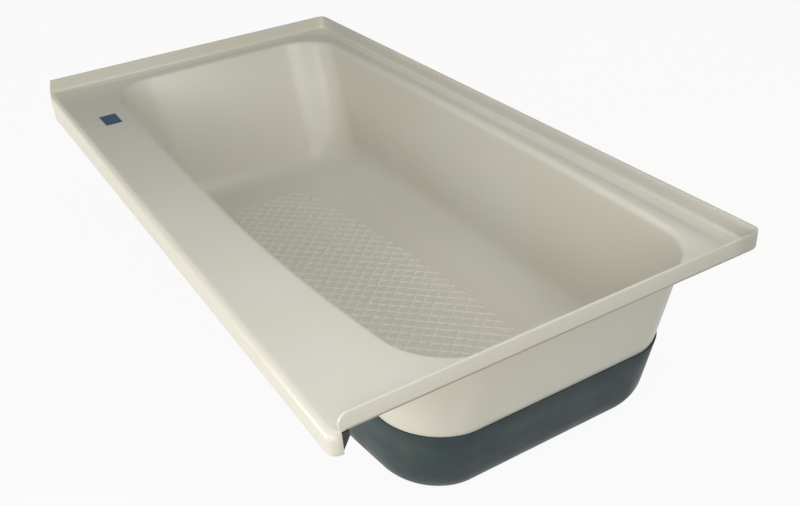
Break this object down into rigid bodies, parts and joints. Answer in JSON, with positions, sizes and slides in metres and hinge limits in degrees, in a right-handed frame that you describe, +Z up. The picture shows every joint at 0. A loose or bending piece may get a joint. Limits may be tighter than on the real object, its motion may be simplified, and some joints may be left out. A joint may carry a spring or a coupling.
{
  "type": "recreational vehicle bathtub",
  "caption": "Shallow rectangular bathtub for a recreational vehicle, with a sloping back rest, wall flanges, a front deck and apron, a dark support pan and a lift-up drain stopper.",
  "frame": {"origin": "middle of the overall length and width, on the surface that the tub stands on", "axes": "+X along the tub towards its drain end, +Y towards the back wall, +Z up"},
  "size_m": [1.372, 0.686, 0.332],
  "materials": {
    "tub_plastic": "glossy",
    "pan_plastic": "satin",
    "plywood": "sawn",
    "foam": "matte",
    "rail_plastic": "matte",
    "label_film": "satin",
    "drain_plastic": "glossy",
    "seal_rubber": "matte",
    "washer_fibre": "matte",
    "nut_plastic": "satin",
    "stem_steel": "brushed"
  },
  "bodies": {
    "tub": {"tub_shell": "tub_plastic", "support_pan": "pan_plastic", "bottom_board": "plywood", "foam_bedding": "foam", "deck_board": "plywood", "front_rail": "rail_plastic", "label_plate": "label_film", "drain_body": "drain_plastic", "drain_top_seal": "seal_rubber", "drain_gasket": "seal_rubber", "friction_washer": "washer_fibre", "drain_locknut": "nut_plastic"},
    "stopper": {"stopper_cap": "drain_plastic", "stopper_seal": "seal_rubber", "stopper_stem": "stem_steel", "stem_clip": "stem_steel"}
  },
  "joints": [
    {"name": "stopper_lift", "type": "slide", "parent": "tub", "child": "stopper", "axis": [0, 0, 1], "range_m": [0, 0.01]}
  ]
}
